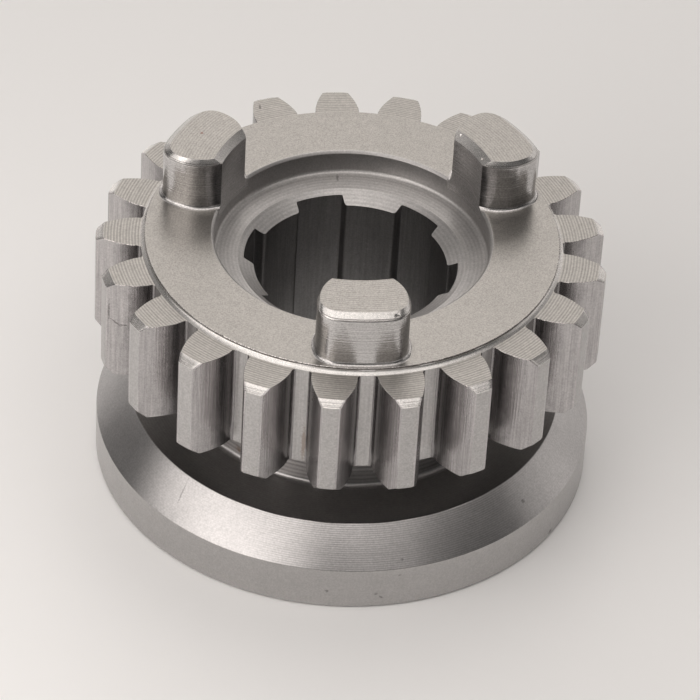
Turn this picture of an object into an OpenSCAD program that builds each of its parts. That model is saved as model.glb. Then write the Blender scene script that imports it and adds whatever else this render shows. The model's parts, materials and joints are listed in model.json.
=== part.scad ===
// Sliding transmission gear, one piece of steel.
// It stands on its flange with the three dogs upward. Z is the bore axis, the base is at z = 0.
// Lengths are in millimetres and angles in degrees.

/* [Flange] */
// Diameter of the flange below the fork groove
flange_d = 52.0; // [48:0.5:54]
// Height of the cylindrical rim of the flange
rim_h = 5.0; // [3:0.1:7]
// Radial width of the bevel above the rim
bevel_w = 3.4; // [1.5:0.1:5]
// Height of the bevel above the rim
bevel_h = 3.5; // [1.5:0.1:5]
// Small broken edge at the bottom of the rim
rim_edge = 0.25; // [0.1:0.05:0.6]

/* [Fork groove] */
// Diameter of the neck at the bottom of the groove
neck_d = 33.6; // [31:0.2:38]
// Width of the groove between the flange and the toothed ring
groove_w = 7.0; // [5:0.1:9]
// Fillet where the neck meets the faces of the groove
neck_fillet = 0.6; // [0.3:0.1:1.5]

/* [Teeth] */
// Number of teeth
tooth_count = 21; // [18:3:24]
// Module of the teeth
tooth_module = 2.25; // [2:0.25:2.5]
// Pressure angle of the teeth
pressure_angle = 20; // [18:0.5:22]
// Profile shift as a share of the module
profile_shift = 0.43; // [0:0.01:0.6]
// Diameter over the tips of the teeth
tip_d = 52.6; // [51:0.1:53]
// Diameter at the bottom of the tooth spaces
root_d = 43.4; // [43.2:0.1:44.4]
// Width of the toothed ring along the bore axis
ring_w = 11.8; // [8:0.1:16]
// Chamfer on the tips at the lower face of the ring
tip_chamfer_low = 0.75; // [0.2:0.05:1.2]
// Chamfer on the tips at the upper face of the ring
tip_chamfer_top = 0.65; // [0.2:0.05:1.2]
// Fillet at the bottom of the tooth spaces
root_fillet = 0.35; // [0.15:0.05:0.5]
// Angle of the first tooth from the X axis
tooth_phase = 91.2; // [0:0.1:120]

/* [Boss] */
// Diameter of the raised boss on the upper face
boss_d = 42.9; // [42:0.1:43]
// Height of the boss above the teeth
boss_h = 0.6; // [0.45:0.05:1.2]
// Fillet at the foot of the boss
boss_fillet = 0.2; // [0.1:0.05:0.3]
// Small broken edge around the boss
boss_edge = 0.12; // [0.05:0.01:0.2]

/* [Bore] */
// Diameter of the counterbore in the boss
counterbore_d = 28.4; // [27:0.1:30]
// Depth of the counterbore below the boss face
counterbore_depth = 2.65; // [1.5:0.05:4]
// Fillet between the wall and the floor of the counterbore
counterbore_fillet = 0.5; // [0.2:0.05:1]
// Chamfer at the mouth of the counterbore
counterbore_edge = 0.25; // [0.1:0.05:0.5]
// Diameter of the lead-in cone at the counterbore floor
lead_d = 23.4; // [22.6:0.1:25]
// Slope of the lead-in cone below the floor
lead_slope = 30; // [20:1:45]
// Diameter over the tips of the spline teeth
spline_minor_d = 20.0; // [18:0.1:21]
// Diameter at the bottom of the spline spaces
spline_major_d = 22.1; // [21.4:0.1:22.4]
// Width of the parallel spline spaces
spline_space_w = 5.05; // [4:0.05:6]
// Number of spline spaces
spline_count = 6; // [6:3:9]
// Angle of one spline space from the X axis
spline_phase = 45; // [0:0.5:60]
// Chamfer at the lower mouth of the bore
bore_edge = 0.8; // [0.3:0.1:1.5]

/* [Dogs] */
// Number of dogs on the boss
dog_count = 3; // [2:1:4]
// Diameter of the rounded ends of each dog
dog_d = 9.5; // [7:0.1:11]
// Distance from the bore axis to the centre of the rounded ends
dog_r = 17.85; // [16.5:0.05:18.5]
// Radius of the turned outer side of the dogs
dog_outer_r = 20.8; // [19.5:0.05:20.9]
// Height of the dogs above the boss face
dog_h = 6.1; // [4:0.1:9]
// Chamfer around the upper face of the dogs
dog_chamfer = 0.5; // [0.2:0.05:0.8]
// Width of the chamfer on the inner side of the dogs
dog_inner_chamfer = 0.8; // [0.3:0.05:1.2]
// Height of the chamfer on the inner side of the dogs
dog_inner_drop = 0.4; // [0.2:0.05:0.45]
// Fillet at the foot of the dogs
dog_fillet = 0.4; // [0.2:0.05:0.45]
// Angle of the first dog from the X axis
dog_phase = 270; // [0:1:360]

/* [Hidden] */
$fn = 96;
flange_r = flange_d / 2;
neck_r = neck_d / 2;
tip_r = tip_d / 2;
root_r = root_d / 2;
boss_r = boss_d / 2;
counterbore_r = counterbore_d / 2;
lead_r = lead_d / 2;
minor_r = spline_minor_d / 2;
major_r = spline_major_d / 2;
face_z = rim_h + bevel_h;
ring_low_z = face_z + groove_w;
ring_top_z = ring_low_z + ring_w;
boss_z = ring_top_z + boss_h;
floor_z = boss_z - counterbore_depth;
dog_top_z = boss_z + dog_h;
lead_z = floor_z - (lead_r - minor_r) * tan(lead_slope);
pitch_r = tooth_module * tooth_count / 2;
base_r = pitch_r * cos(pressure_angle);
pitch_angle = 360 / tooth_count;
// Half of the tooth's angle at the pitch circle, from the profile shift
half_pitch_tooth = 90 * (1 + 4 * profile_shift * tan(pressure_angle) / PI) / tooth_count;
// Half of the tooth's angle at the base circle
half_base_tooth = half_pitch_tooth + involute_angle(pitch_r);
space_reach = tip_r + 1.5;
flank_steps = 9;
fillet_steps = 5;
// How far the dogs reach into the boss, and how far their foot fillet sinks into its face
foot_depth = 0.5;
foot_sink = 0.01;

// Roll-off angle of the involute at radius r
function involute_angle(r) =
    let (a = acos(min(1, base_r / r)))
    tan(a) * 180 / PI - a;

// Half of the space's angle at radius r
function space_half(r) =
    pitch_angle / 2 - half_base_tooth + (r > base_r ? involute_angle(r) : 0);

function polar(r, a) = [r * cos(a), r * sin(a)];

// Points of a quarter arc about a centre, from one angle to another
function arc_points(centre, r, a0, a1, steps) =
    [for (i = [0 : steps]) centre + polar(r, a0 + (a1 - a0) * i / steps)];

// One side of a tooth space, from the open end to the root
function flank_side() =
    let (
        start_r = base_r + 0.05,
        corner_a = space_half(base_r) - asin(root_fillet / (root_r + root_fillet)),
        corner = polar(root_r + root_fillet, corner_a)
    )
    concat(
        [polar(space_reach, space_half(tip_r))],
        [for (i = [0 : flank_steps])
            let (r = tip_r + (start_r - tip_r) * i / flank_steps)
            polar(r, space_half(r))],
        arc_points(corner, root_fillet, space_half(base_r) + 90, corner_a + 180, fillet_steps)
    );

function mirrored(points) =
    [for (i = [len(points) - 1 : -1 : 0]) [points[i][0], -points[i][1]]];

// Half section of the turned blank: flange, groove, ring, boss and the broken edge of its mouth
function blank_section() = concat(
    [
        [0, 0],
        [flange_r - rim_edge, 0],
        [flange_r, rim_edge],
        [flange_r, rim_h],
        [flange_r - bevel_w, face_z]
    ],
    arc_points([neck_r + neck_fillet, face_z + neck_fillet], neck_fillet, 270, 180, fillet_steps),
    arc_points([neck_r + neck_fillet, ring_low_z - neck_fillet], neck_fillet, 180, 90, fillet_steps),
    [
        [tip_r - tip_chamfer_low, ring_low_z],
        [tip_r, ring_low_z + tip_chamfer_low],
        [tip_r, ring_top_z - tip_chamfer_top],
        [tip_r - tip_chamfer_top, ring_top_z]
    ],
    arc_points([boss_r + boss_fillet, ring_top_z + boss_fillet], boss_fillet, 270, 180, fillet_steps),
    [
        [boss_r, boss_z - boss_edge],
        [boss_r - boss_edge, boss_z],
        [counterbore_r + counterbore_edge, boss_z],
        [counterbore_r - 1, boss_z - counterbore_edge - 1],
        [0, boss_z - counterbore_edge - 1]
    ]
);

module blank() {
    rotate_extrude()
        polygon(blank_section());
}

// Half section of the bored space: bottom mouth, spline tips, lead-in cone and counterbore
function bore_section() = concat(
    [
        [0, -1],
        [minor_r + bore_edge + 1, -1],
        [minor_r, bore_edge],
        [minor_r, lead_z],
        [lead_r, floor_z]
    ],
    arc_points(
        [counterbore_r - counterbore_fillet, floor_z + counterbore_fillet],
        counterbore_fillet, -90, 0, fillet_steps
    ),
    [
        [counterbore_r, dog_top_z - dog_inner_drop],
        [counterbore_r + 2 * dog_inner_chamfer, dog_top_z + dog_inner_drop],
        [0, dog_top_z + dog_inner_drop]
    ]
);

module bore() {
    rotate_extrude()
        polygon(bore_section());
}

// The cutter path of one tooth space, an involute on each side and a rounded root
module tooth_space() {
    translate([0, 0, face_z + groove_w / 2])
        linear_extrude(height = dog_top_z)
            polygon(concat(flank_side(), mirrored(flank_side())));
}

module tooth_spaces() {
    for (i = [0 : tooth_count - 1])
        rotate([0, 0, tooth_phase + (i + 0.5) * pitch_angle])
            tooth_space();
}

// The broached spaces, parallel sided and closed by the major circle
module spline_spaces() {
    intersection() {
        translate([0, 0, -1])
            cylinder(h = dog_top_z, r = major_r);
        for (i = [0 : spline_count - 1])
            rotate([0, 0, spline_phase + i * 360 / spline_count])
                translate([0, -spline_space_w / 2, -2])
                    cube([major_r + 2, spline_space_w, dog_top_z]);
    }
}

// Half section of a turned pin of radius r, filleted at its foot and chamfered at its top
function pin_section(r) = concat(
    [
        [0, boss_z - foot_depth],
        [r + dog_fillet, boss_z - foot_depth]
    ],
    arc_points([r + dog_fillet, boss_z - foot_sink + dog_fillet], dog_fillet, 270, 180, fillet_steps),
    [
        [r, dog_top_z - dog_chamfer],
        [r - dog_chamfer, dog_top_z],
        [0, dog_top_z]
    ]
);

// One dog: a round pin cut to the outer side that is turned about the bore axis
module dog() {
    intersection() {
        rotate_extrude()
            polygon(pin_section(dog_outer_r));
        translate([dog_r, 0, 0])
            rotate_extrude()
                polygon(pin_section(dog_d / 2));
    }
}

module dogs() {
    for (i = [0 : dog_count - 1])
        rotate([0, 0, dog_phase + i * 360 / dog_count])
            dog();
}

module sliding_gear() {
    color([0.70, 0.67, 0.65])
        difference() {
            union() {
                blank();
                dogs();
            }
            bore();
            spline_spaces();
            tooth_spaces();
        }
}

sliding_gear();
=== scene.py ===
"""Looks of the sliding transmission gear: its machined surfaces, the studio and the camera.

The gear is one piece of steel. Its surface is built as one closed mesh from the named sizes
below, in millimetres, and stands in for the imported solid. Z is the bore axis.
"""

from __future__ import annotations

import json
import logging
import math
import random
from dataclasses import dataclass
from enum import Enum
from typing import Callable, Iterable, Sequence

import bmesh
import bpy
from mathutils import Matrix, Vector

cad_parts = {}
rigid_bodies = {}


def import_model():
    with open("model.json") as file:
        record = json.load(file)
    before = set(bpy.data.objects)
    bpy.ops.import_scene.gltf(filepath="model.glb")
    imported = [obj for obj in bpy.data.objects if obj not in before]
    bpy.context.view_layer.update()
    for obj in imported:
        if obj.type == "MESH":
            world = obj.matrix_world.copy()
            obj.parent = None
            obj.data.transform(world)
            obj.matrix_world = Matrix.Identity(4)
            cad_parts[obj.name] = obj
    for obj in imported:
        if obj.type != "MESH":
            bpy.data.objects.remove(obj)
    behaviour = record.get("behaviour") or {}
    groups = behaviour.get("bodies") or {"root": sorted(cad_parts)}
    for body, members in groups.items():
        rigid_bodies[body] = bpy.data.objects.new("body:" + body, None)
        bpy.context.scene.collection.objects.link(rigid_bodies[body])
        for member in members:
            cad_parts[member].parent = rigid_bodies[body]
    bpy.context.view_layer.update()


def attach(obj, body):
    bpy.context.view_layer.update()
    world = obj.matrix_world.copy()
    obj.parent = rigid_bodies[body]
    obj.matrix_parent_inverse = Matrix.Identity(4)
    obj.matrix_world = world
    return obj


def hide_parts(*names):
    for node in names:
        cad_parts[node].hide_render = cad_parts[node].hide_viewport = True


LOG = logging.getLogger("gear")
MM = 0.001
UM = 1e-6
TURN = 2 * math.pi
SAME_POINT_MM = 1e-4
NEAR_MM = 1e-3
SHARP_EDGE_DEG = 26.0
UNDER_HALF = 0.49
FINISH_LAYER = "finish"

Point2 = tuple[float, float]
Point3 = tuple[float, float, float]
Socket = bpy.types.NodeSocket
Tree = bpy.types.NodeTree
Ring = Sequence[bmesh.types.BMVert]


class Finish(Enum):
    """The machining that made a surface, or the painted shade laid on it, in the order of the
    material slots.
    """

    FACE = 0
    RIM = 1
    BEVEL = 2
    GROOVE = 3
    NECK = 4
    FLANK = 5
    LAND = 6
    CHAMFER = 7
    BORE = 8
    RECESS = 9
    DOG_SIDE = 10
    DOG_TOP = 11
    BASE = 12
    TOOTH_TOP = 13
    BURR = 14
    ROOT = 15
    SEAM = 16


class Grain(Enum):
    """The way the tool marks run over a surface."""

    ROUND_FACE = "circles about the bore on a face"
    ROUND_WALL = "rings up a wall"
    UPRIGHT = "streaks along the bore axis"


Materials = dict[Finish, bpy.types.Material]


def linear(code: str) -> tuple[float, float, float, float]:
    """Turns an sRGB hex colour into linear values.

    Args:
        code: Six hex digits with a leading hash.

    Returns:
        Red, green, blue and alpha.
    """
    parts = [int(code[i : i + 2], 16) / 255 for i in (1, 3, 5)]
    lit = [c / 12.92 if c <= 0.04045 else ((c + 0.055) / 1.055) ** 2.4 for c in parts]
    return lit[0], lit[1], lit[2], 1.0


def polar(radius: float, angle: float) -> Point2:
    """Returns the point at a radius and an angle in radians."""
    return radius * math.cos(angle), radius * math.sin(angle)


def arc(centre: Point2, radius: float, start: float, end: float, steps: int) -> list[Point2]:
    """Returns the points of an arc.

    Args:
        centre: Centre of the arc.
        radius: Radius of the arc.
        start: First angle in degrees.
        end: Last angle in degrees.
        steps: Number of segments.

    Returns:
        The points, both ends included.
    """
    points = []
    for i in range(steps + 1):
        x, y = polar(radius, math.radians(start + (end - start) * i / steps))
        points.append((centre[0] + x, centre[1] + y))
    return points


def bent(first: Vector, knee: Vector, last: Vector, share: float) -> Point2:
    """Returns the point at a share of the curve that rounds the corner at the knee."""
    p = first * (1 - share) ** 2 + knee * 2 * share * (1 - share) + last * share * share
    return p.x, p.y


def eased(corners: Sequence[Point3], steps: int = 3) -> list[Point2]:
    """Rounds the corners of an open profile.

    Args:
        corners: Points with the length that each one's rounding takes from its two sides.
        steps: Segments in each rounding.

    Returns:
        The points of the rounded profile.
    """
    done: list[Point2] = []
    for i, (x, y, cut) in enumerate(corners):
        here = Vector((x, y))
        if cut <= 0 or i in (0, len(corners) - 1):
            done.append((x, y))
            continue
        before = Vector(corners[i - 1][:2]) - here
        after = Vector(corners[i + 1][:2]) - here
        first = here + before.normalized() * min(cut, before.length * UNDER_HALF)
        last = here + after.normalized() * min(cut, after.length * UNDER_HALF)
        done += [bent(first, here, last, k / steps) for k in range(steps + 1)]
    return done


def placed(name: str, data: bpy.types.ID) -> bpy.types.Object:
    """Puts a new object into the scene, at the origin.

    Args:
        name: Name of the object.
        data: Its mesh, camera or light.

    Returns:
        The object.
    """
    made = bpy.data.objects.new(name, data)
    bpy.context.scene.collection.objects.link(made)
    return made


def evaluated(carrier: bpy.types.Object) -> bpy.types.Mesh:
    """Applies an object's modifiers.

    Args:
        carrier: The object, which stays as it is.

    Returns:
        The resulting mesh.
    """
    graph = bpy.context.evaluated_depsgraph_get()
    return bpy.data.meshes.new_from_object(
        carrier.evaluated_get(graph), preserve_all_data_layers=True, depsgraph=graph
    )


def open_edges(bm: bmesh.types.BMesh) -> int:
    """Counts the edges that don't join exactly two faces."""
    return sum(1 for edge in bm.edges if len(edge.link_faces) != 2)


class Shell:
    """Rings of points in millimetres and the bands of faces between them."""

    def __init__(self) -> None:
        """Starts an empty mesh with a layer for the finish of each face."""
        self.bm = bmesh.new()
        self.layer = self.bm.faces.layers.int.new(FINISH_LAYER)

    def ring(self, points: Iterable[Point3]) -> list[bmesh.types.BMVert]:
        """Adds points and returns their vertices."""
        return [self.bm.verts.new(p) for p in points]

    def face(self, corners: Ring, finish: Finish) -> None:
        """Adds one face with its finish."""
        self.bm.faces.new(corners)[self.layer] = finish.value

    def band(
        self,
        low: Ring,
        high: Ring,
        finish: Finish | Callable[[int], Finish],
        closed: bool = False,
    ) -> None:
        """Joins two rings of equal length with faces.

        Args:
            low: The first ring.
            high: The second ring.
            finish: One finish, or a function that gives the finish of each face.
            closed: Whether the last point joins the first.
        """
        count = len(low)
        for i in range(count if closed else count - 1):
            j = (i + 1) % count
            kind = finish(i) if callable(finish) else finish
            self.face([low[i], low[j], high[j], high[i]], kind)

    def turned(
        self, profile: Sequence[Point2], columns: int, finish: Callable[[float, float], Finish]
    ) -> None:
        """Adds a surface turned about the bore axis.

        Args:
            profile: Radius and height of each ring, in order.
            columns: Number of segments around the axis.
            finish: Gives the finish at a radius and height.
        """
        rings = [
            self.ring((*polar(r, TURN * i / columns), z) for i in range(columns))
            for r, z in profile
        ]
        for (r0, z0), (r1, z1), low, high in zip(profile, profile[1:], rings, rings[1:]):
            self.band(low, high, finish((r0 + r1) / 2, (z0 + z1) / 2), closed=True)

    def turn(self, degrees: float) -> None:
        """Turns the draft about the bore axis."""
        spin = Matrix.Rotation(math.radians(degrees), 3, "Z")
        bmesh.ops.rotate(self.bm, verts=self.bm.verts, cent=(0, 0, 0), matrix=spin)

    def weld(self) -> None:
        """Joins points that coincide and drops faces with no area."""
        bmesh.ops.remove_doubles(self.bm, verts=self.bm.verts, dist=SAME_POINT_MM)
        bmesh.ops.dissolve_degenerate(self.bm, edges=self.bm.edges, dist=SAME_POINT_MM)

    def take(self, mesh: bpy.types.Mesh) -> None:
        """Adds a finished mesh, in millimetres, and removes it."""
        self.bm.from_mesh(mesh)
        bpy.data.meshes.remove(mesh)

    def flat_ring(self, height: float, finish: Finish) -> None:
        """Fills the flat ring between the two open edges at a height.

        Args:
            height: Height of the ring.
            finish: Finish of the new faces.
        """
        rim = [
            edge
            for edge in self.bm.edges
            if len(edge.link_faces) == 1
            and all(abs(vert.co.z - height) < SAME_POINT_MM for vert in edge.verts)
        ]
        made = bmesh.ops.triangle_fill(self.bm, use_beauty=True, use_dissolve=False, edges=rim)
        for part in made["geom"]:
            if isinstance(part, bmesh.types.BMFace):
                part[self.layer] = finish.value

    def to_mesh(self, name: str) -> bpy.types.Mesh:
        """Turns the draft into a mesh, in millimetres, and ends the draft.

        Args:
            name: Name of the mesh.

        Returns:
            The mesh.
        """
        mesh = bpy.data.meshes.new(name)
        self.bm.to_mesh(mesh)
        self.bm.free()
        return mesh


def add(
    tree: Tree,
    kind: str,
    settings: dict[str, object] | None = None,
    links: dict[str | int, object] | None = None,
) -> bpy.types.Node:
    """Adds a node with its settings and links.

    Args:
        tree: Tree that gets the node.
        kind: Type name of the node.
        settings: Properties of the node.
        links: For each input, the socket that feeds it or the value it holds.

    Returns:
        The node.
    """
    node = tree.nodes.new(kind)
    for key, value in (settings or {}).items():
        setattr(node, key, value)
    for key, value in (links or {}).items():
        if isinstance(value, Socket):
            tree.links.new(value, node.inputs[key])
        else:
            node.inputs[key].default_value = value
    return node


STEEL = "#AAA8A8"
STEEL_FACED = "#ABA8A4"
STEEL_LIGHT = "#B5B3B2"
STEEL_CUT = "#D4D2D0"
STEEL_HOBBED = "#A8A5A5"
# Painted shade: a darker steel for the groove under the teeth.
STEEL_GROOVE_SHADE = "#959392"
STEEL_SHADED = "#ABAAAA"
DIRT = "#454240"
RUST = "#806A58"

# Most of a noise lies between these two values, so they are stretched to a range's ends.
NOISE_LOW, NOISE_HIGH = 0.3, 0.7
SOFT_NOISE = {"Detail": 3.0, "Roughness": 0.65}
GRIT_NOISE = {"Detail": 2.0, "Roughness": 0.65}
LINE_NOISE = {"Detail": 2.0, "Roughness": 0.7}
# Uneven marks change a little faster than the even ones come round.
UNEVEN_RATE = 1.3
# Soft clouds of light and dark, a little over a millimetre wide, as handling leaves them.
CLOUD_MM = 1.1
CLOUD_SPREAD = 0.04
# How far the noise frays the edge of the painted root shade or a blemish.
FRAY = 1.6


def bore_distance(tree: Tree, mm: Socket) -> Socket:
    """Measures the distance from the bore axis.

    Args:
        tree: Tree of the material.
        mm: Place on the gear in millimetres.

    Returns:
        The distance in millimetres.
    """
    flat = add(tree, "ShaderNodeVectorMath", {"operation": "MULTIPLY"}, {0: mm, 1: (1, 1, 0)})
    away = add(tree, "ShaderNodeVectorMath", {"operation": "LENGTH"}, {0: flat.outputs["Vector"]})
    return away.outputs["Value"]


@dataclass(frozen=True)
class Blemish:
    """A small speck, scratch or stain: a ragged ellipsoid of another tint."""

    place_mm: Point3
    half_mm: Point3
    colour: str = DIRT
    lean_deg: float = 0.0
    turn_deg: float = 0.0
    strength: float = 1.0
    none_at: float = 2.1
    full_at: float = 1.3

    def laid(self, tree: Tree, mm: Socket, grit: Socket, tint: Socket) -> Socket:
        """Lays the blemish over a tint.

        Args:
            tree: Tree of the material.
            mm: Place on the gear in millimetres.
            grit: Fine noise that frays the edge.
            tint: Tint below the blemish.

        Returns:
            The tint with the blemish.
        """
        turned = (0.0, math.radians(self.lean_deg), math.radians(self.turn_deg))
        where = {"Location": self.place_mm, "Rotation": turned, "Scale": self.half_mm}
        local = add(
            tree, "ShaderNodeMapping", {"vector_type": "TEXTURE"}, {"Vector": mm, **where}
        ).outputs["Vector"]
        away = add(
            tree, "ShaderNodeVectorMath", {"operation": "LENGTH"}, {0: local}
        ).outputs["Value"]
        frayed = add(
            tree, "ShaderNodeMath", {"operation": "MULTIPLY_ADD"}, {0: grit, 1: FRAY, 2: away}
        ).outputs[0]
        share = add(
            tree,
            "ShaderNodeMapRange",
            None,
            {
                "Value": frayed,
                "From Min": self.none_at,
                "From Max": self.full_at,
                "To Min": 0.0,
                "To Max": self.strength,
            },
        ).outputs["Result"]
        return add(
            tree,
            "ShaderNodeMix",
            {"data_type": "RGBA"},
            {"Factor": share, 6: tint, 7: linear(self.colour)},
        ).outputs[2]


@dataclass(frozen=True)
class ToolMarks:
    """The fine lines a tool leaves, as relief and as light and dark.

    The lines lie a real feed apart. Their height is a share of an even wave and a share of
    uneven noise. Where handling has worn them, they are kept between four places across the
    gear: none, full, full and none again.
    """

    grain: Grain
    pitch_mm: float
    depth_um: float
    contrast: float = 0.05
    even: float = 0.2
    uneven: float = 0.4
    kept_x_mm: tuple[float, float, float, float] | None = None
    least_kept: float = 0.15
    streak: Point3 = (1.0, 1.0, 0.03)

    def height(self, tree: Tree, mm: Socket) -> Socket:
        """Adds the height of the marks.

        Args:
            tree: Tree of the material.
            mm: Place on the gear in millimetres.

        Returns:
            The height, in units of the depth.
        """
        if self.grain is Grain.UPRIGHT:
            drawn = add(
                tree, "ShaderNodeVectorMath", {"operation": "MULTIPLY"}, {0: mm, 1: self.streak}
            ).outputs["Vector"]
            streaks = {"Vector": drawn, "Scale": 1 / self.pitch_mm, **SOFT_NOISE}
            return add(tree, "ShaderNodeTexNoise", None, streaks).outputs["Fac"]
        parts = add(tree, "ShaderNodeSeparateXYZ", None, {"Vector": mm}).outputs
        along = bore_distance(tree, mm) if self.grain is Grain.ROUND_FACE else parts["Z"]
        wave = along
        for how, by in (("MULTIPLY", TURN / self.pitch_mm), ("SINE", 0.0), ("MULTIPLY", self.even)):
            wave = add(tree, "ShaderNodeMath", {"operation": how}, {0: wave, 1: by}).outputs[0]
        noise = add(
            tree,
            "ShaderNodeTexNoise",
            {"noise_dimensions": "1D"},
            {"W": along, "Scale": UNEVEN_RATE / self.pitch_mm, **LINE_NOISE},
        ).outputs["Fac"]
        height = add(
            tree,
            "ShaderNodeMath",
            {"operation": "MULTIPLY_ADD"},
            {0: noise, 1: self.uneven, 2: wave},
        ).outputs[0]
        steps: list[tuple[str, float | Socket]] = [("SUBTRACT", self.uneven / 2)]
        if self.kept_x_mm is not None:
            left, full, fades, right = self.kept_x_mm
            for none, whole in ((left, full), (right, fades)):
                kept = {"From Min": none, "From Max": whole, "To Min": self.least_kept}
                fade = add(
                    tree,
                    "ShaderNodeMapRange",
                    {"interpolation_type": "SMOOTHSTEP"},
                    {"Value": parts["X"], **kept, "To Max": 1.0},
                )
                steps.append(("MULTIPLY", fade.outputs["Result"]))
        for how, by in (*steps, ("ADD", 0.5)):
            height = add(tree, "ShaderNodeMath", {"operation": how}, {0: height, 1: by}).outputs[0]
        return height


@dataclass(frozen=True)
class MachinedSteel:
    """Case-hardened alloy steel as a tool left it: a grey metal with fine directed marks.

    The real grit is some hundredths of a millimetre wide. It is drawn 0.13 to 0.2 mm wide,
    because it would not show otherwise.
    """

    name: str
    roughness: float
    marks: ToolMarks | None = None
    grit: float = 0.1
    colour: str = STEEL
    grit_um: float = 0.4
    grit_mm: float = 0.2
    # Painted shade and light: the radii over which the tint goes from darker to lighter, and the
    # two tint factors.
    root_shade_r_mm: Point2 | None = None
    root_shade_tint: float = 0.7
    tip_light_tint: float = 1.22
    blemishes: tuple[Blemish, ...] = ()

    def build(self) -> bpy.types.Material:
        """Builds the material.

        Returns:
            The material, which reads Object coordinates.
        """
        material = bpy.data.materials.new(self.name)
        material.use_nodes = True
        tree = material.node_tree
        tree.nodes.clear()
        place = add(tree, "ShaderNodeTexCoord").outputs["Object"]
        mm = add(
            tree, "ShaderNodeVectorMath", {"operation": "SCALE"}, {0: place, "Scale": 1 / MM}
        ).outputs["Vector"]
        cloud, grit = (
            add(
                tree, "ShaderNodeTexNoise", None, {"Vector": mm, "Scale": 1 / size, **noise}
            ).outputs["Fac"]
            for size, noise in ((CLOUD_MM, SOFT_NOISE), (self.grit_mm, GRIT_NOISE))
        )
        spreads = [(cloud, CLOUD_SPREAD), (grit, self.grit)]
        reliefs = [(grit, self.grit_um)]
        if self.marks is not None:
            height = self.marks.height(tree, mm)
            spreads.append((height, self.marks.contrast))
            reliefs.append((height, self.marks.depth_um))
        normal: dict[str | int, object] = {}
        for height, depth_um in reliefs:
            relief = {"Strength": 1.0, "Distance": depth_um * UM, "Height": height, **normal}
            normal = {"Normal": add(tree, "ShaderNodeBump", None, relief).outputs["Normal"]}
        ends = {"From Min": NOISE_LOW, "From Max": NOISE_HIGH}
        shades = []
        for value, spread in spreads:
            links = {"Value": value, **ends, "To Min": 1 - spread, "To Max": 1 + spread}
            shades.append(add(tree, "ShaderNodeMapRange", None, links).outputs["Result"])
        # Painted shade near the tooth roots and painted light above them.
        if self.root_shade_r_mm is not None:
            shades.append(self._root_shade(tree, mm, cloud))
        tint: tuple[float, ...] | Socket = linear(self.colour)
        for shade in shades:
            tint = add(
                tree,
                "ShaderNodeMix",
                {"data_type": "RGBA", "blend_type": "MULTIPLY"},
                {"Factor": 1.0, 6: tint, 7: shade},
            ).outputs[2]
        for blemish in self.blemishes:
            tint = blemish.laid(tree, mm, grit, tint)
        shader = add(
            tree,
            "ShaderNodeBsdfPrincipled",
            None,
            {"Base Color": tint, "Metallic": 1.0, "Roughness": self.roughness, **normal},
        )
        add(tree, "ShaderNodeOutputMaterial", None, {"Surface": shader.outputs["BSDF"]})
        return material

    def _root_shade(self, tree: Tree, mm: Socket, cloud: Socket) -> Socket:
        """Adds painted shade that darkens the metal near the roots and painted light that lightens
        it above.

        Args:
            tree: Tree of the material.
            mm: Place on the gear in millimetres.
            cloud: Soft noise that frays the painted shade's edge.

        Returns:
            The shade, to multiply the tint with.
        """
        edge = add(
            tree,
            "ShaderNodeMath",
            {"operation": "MULTIPLY_ADD"},
            {0: cloud, 1: FRAY, 2: bore_distance(tree, mm)},
        ).outputs[0]
        low, high = self.root_shade_r_mm
        ends = {"From Min": low, "From Max": high, "To Min": self.root_shade_tint}
        return add(
            tree,
            "ShaderNodeMapRange",
            {"interpolation_type": "SMOOTHSTEP"},
            {"Value": edge, **ends, "To Max": self.tip_light_tint},
        ).outputs["Result"]


ROOT_STAIN = Blemish((-5.5, -21.0, 17.9), (0.22, 0.6, 2.2), RUST, strength=0.5)

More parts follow.
